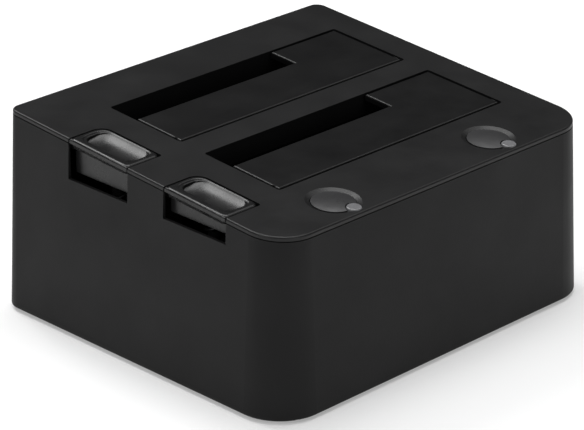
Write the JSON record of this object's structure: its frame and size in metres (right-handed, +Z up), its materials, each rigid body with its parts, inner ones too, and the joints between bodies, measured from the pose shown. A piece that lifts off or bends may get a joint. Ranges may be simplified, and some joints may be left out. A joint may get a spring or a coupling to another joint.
{
  "type": "drive duplicator",
  "caption": "Box-shaped dock and duplicator for bare hard drives: sloping deck with paired sprung-flap slots, eject buttons with levers, and round push-buttons beside light pipes.",
  "frame": {"origin": "on the surface that the feet stand on, under the middle of the body", "axes": "+X along the drive slots, away from the eject buttons; +Y from the front, where the push-buttons are, to the back, where the sockets are; +Z up"},
  "size_m": [0.1472, 0.129, 0.0698],
  "materials": {
    "housing_plastic": "fine-textured moulded plastic, satin black",
    "cover_plastic": "fine-textured moulded plastic, satin black",
    "base_plastic": "moulded plastic, matt black",
    "flap_plastic": "moulded plastic, satin black",
    "eject_plastic": "moulded plastic, satin black, smoother than the cover",
    "push_button_plastic": "moulded plastic, semi-gloss dark grey",
    "light_pipe_clear": "clear plastic, milky where it shows",
    "well_plastic": "moulded plastic, matt black",
    "lever_plastic": "moulded plastic, matt black",
    "connector_plastic": "moulded contact carrier, black",
    "switch_plastic": "moulded switch body, black",
    "foot_rubber": "matt black rubber",
    "screw_steel": "zinc-plated steel",
    "pin_steel": "drawn steel",
    "spring_steel": "drawn spring wire",
    "circuit_board": "solder-resist green glass-epoxy board",
    "led_white": "milky lens",
    "chip_epoxy": "moulded epoxy",
    "capacitor_can": "sleeved aluminium can",
    "coil_ferrite": "pressed ferrite",
    "ribbon_grey": "flat grey ribbon",
    "port_metal": "tin-plated steel shell"
  },
  "bodies": {
    "housing": {"lower_shell": "housing_plastic", "top_cover": "cover_plastic", "base_plate": "base_plastic", "rubber_feet": "foot_rubber", "corner_screws": "screw_steel", "well_screws": "screw_steel", "board_screws": "screw_steel", "button_board_screws": "screw_steel", "front_drive_well": "well_plastic", "rear_drive_well": "well_plastic", "front_drive_connector": "connector_plastic", "rear_drive_connector": "connector_plastic", "front_flap_pin": "pin_steel", "rear_flap_pin": "pin_steel", "front_lever_pin": "pin_steel", "rear_lever_pin": "pin_steel", "front_eject_spring": "spring_steel", "rear_eject_spring": "spring_steel", "power_switch": "switch_plastic", "copy_switch": "switch_plastic", "power_light_pipe": "light_pipe_clear", "copy_light_pipe": "light_pipe_clear", "button_board": "circuit_board", "main_board": "circuit_board", "status_leds": "led_white", "bridge_chip": "chip_epoxy", "capacitors": "capacitor_can", "power_coils": "coil_ferrite", "ribbon_sockets": "connector_plastic", "ribbon_cable": "ribbon_grey", "power_socket": "connector_plastic", "usb_socket": "port_metal", "esata_socket": "port_metal"},
    "front_flap_body": {"front_flap": "flap_plastic", "front_flap_spring": "spring_steel"},
    "rear_flap_body": {"rear_flap": "flap_plastic", "rear_flap_spring": "spring_steel"},
    "front_eject_body": {"front_eject_button": "eject_plastic"},
    "rear_eject_body": {"rear_eject_button": "eject_plastic"},
    "front_lever_body": {"front_ejector_lever": "lever_plastic"},
    "rear_lever_body": {"rear_ejector_lever": "lever_plastic"},
    "power_button_body": {"power_button": "push_button_plastic", "power_plunger": "lever_plastic"},
    "copy_button_body": {"copy_button": "push_button_plastic", "copy_plunger": "lever_plastic"}
  },
  "joints": [
    {"name": "front_flap_hinge", "type": "hinge", "parent": "housing", "child": "front_flap_body", "pos_m": [0, -0.03203, 0.06056], "axis": [-1, 0, 0], "range_deg": [0, 90], "stiffness_Nm_per_rad": 0.006, "springref_deg": -34.38},
    {"name": "rear_flap_hinge", "type": "hinge", "parent": "housing", "child": "rear_flap_body", "pos_m": [0, 0.01175, 0.06375], "axis": [-1, 0, 0], "range_deg": [0, 90], "stiffness_Nm_per_rad": 0.006, "springref_deg": -34.38},
    {"name": "front_eject_slide", "type": "slide", "parent": "housing", "child": "front_eject_body", "axis": [0, 0, -1], "range_m": [0, 0.005], "stiffness_N_per_m": 300, "springref_m": -0.002, "deforming": ["front_eject_spring"]},
    {"name": "front_lever_hinge", "type": "hinge", "parent": "housing", "child": "front_lever_body", "pos_m": [-0.0523, -0.02535, 0.0175], "axis": [0, -1, 0], "range_deg": [0, 28.29]},
    {"name": "rear_eject_slide", "type": "slide", "parent": "housing", "child": "rear_eject_body", "axis": [0, 0, -1], "range_m": [0, 0.005], "stiffness_N_per_m": 300, "springref_m": -0.002, "deforming": ["rear_eject_spring"]},
    {"name": "rear_lever_hinge", "type": "hinge", "parent": "housing", "child": "rear_lever_body", "pos_m": [-0.0523, 0.01843, 0.0175], "axis": [0, -1, 0], "range_deg": [0, 28.29]},
    {"name": "power_push", "type": "slide", "parent": "housing", "child": "power_button_body", "axis": [0, 0.0727, -0.9974], "range_m": [0, 0.0007], "stiffness_N_per_m": 800, "springref_m": -0.0005},
    {"name": "copy_push", "type": "slide", "parent": "housing", "child": "copy_button_body", "axis": [0, 0.0727, -0.9974], "range_m": [0, 0.0007], "stiffness_N_per_m": 800, "springref_m": -0.0005}
  ],
  "couplings": [
    {"joint": "front_lever_hinge", "follows": "front_eject_slide", "rad_per_m": 98.039},
    {"joint": "rear_lever_hinge", "follows": "rear_eject_slide", "rad_per_m": 98.039}
  ]
}
